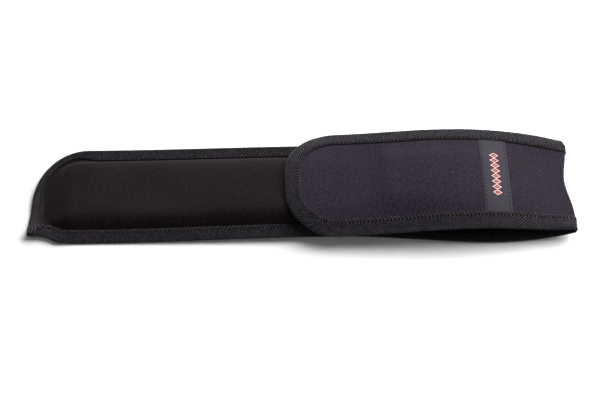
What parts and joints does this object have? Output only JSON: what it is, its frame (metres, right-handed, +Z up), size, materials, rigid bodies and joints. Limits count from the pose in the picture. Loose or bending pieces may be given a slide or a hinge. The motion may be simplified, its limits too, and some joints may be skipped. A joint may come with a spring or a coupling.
{
  "type": "knife sheath",
  "caption": "Long soft sheath for a slim knife: raised padded pouch, bound edges and a long fold-over flap that closes over the handle.",
  "frame": {"origin": "centre of the bounding box in plan, on the surface that the sheath lies on", "axes": "+X along the sheath from its tip to the fold, +Y to the side with the large round corner, +Z up out of the front panel"},
  "size_m": [0.364, 0.0848, 0.0208],
  "materials": {
    "pouch_cloth": "woven nylon, matt, near black",
    "flap_cloth": "woven nylon twill, matt, charcoal with a violet cast",
    "lining_cloth": "smooth taffeta, slight sheen",
    "binding_tape": "herringbone twill tape, black",
    "thread": "bonded polyester thread, black",
    "board": "thin sheet",
    "foam": "closed-cell foam",
    "liner_plastic": "stiff sheet, satin",
    "loop_pile": "brushed loop pile",
    "hook_tape": "hook tape",
    "webbing": "ribbed webbing",
    "satin_label": "grey satin weave with a soft gloss"
  },
  "bodies": {
    "pouch": {"back_cover": "pouch_cloth", "back_lining": "lining_cloth", "back_stiffener": "board", "belt_loop": "webbing", "belt_loop_seam": "thread", "blade_liner_front": "liner_plastic", "blade_liner_rear": "liner_plastic", "edge_seam_pouch": "thread", "edge_tape_pouch": "binding_tape", "fold_cover": "flap_cloth", "fold_lining": "lining_cloth", "fold_stiffener": "board", "fold_tape": "binding_tape", "front_cover": "pouch_cloth", "front_foam": "foam", "front_lining": "lining_cloth", "loop_patch": "loop_pile", "loop_patch_seam": "thread", "mouth_seam": "thread", "mouth_tape": "binding_tape", "tape_tail": "binding_tape"},
    "flap": {"flap_cover": "flap_cloth", "flap_stiffener": "board", "flap_lining": "lining_cloth", "edge_tape_flap": "binding_tape", "edge_seam_flap": "thread", "hook_patch": "hook_tape", "hook_patch_seam": "thread", "label": "satin_label", "label_seam": "thread"}
  },
  "joints": [
    {"name": "flap_hinge", "type": "hinge", "parent": "pouch", "child": "flap", "pos_m": [0.17865, 0, 0.00855], "axis": [0, 1, 0], "range_deg": [0, 170], "deforming": ["fold_cover", "fold_stiffener", "fold_lining", "fold_tape"]}
  ]
}
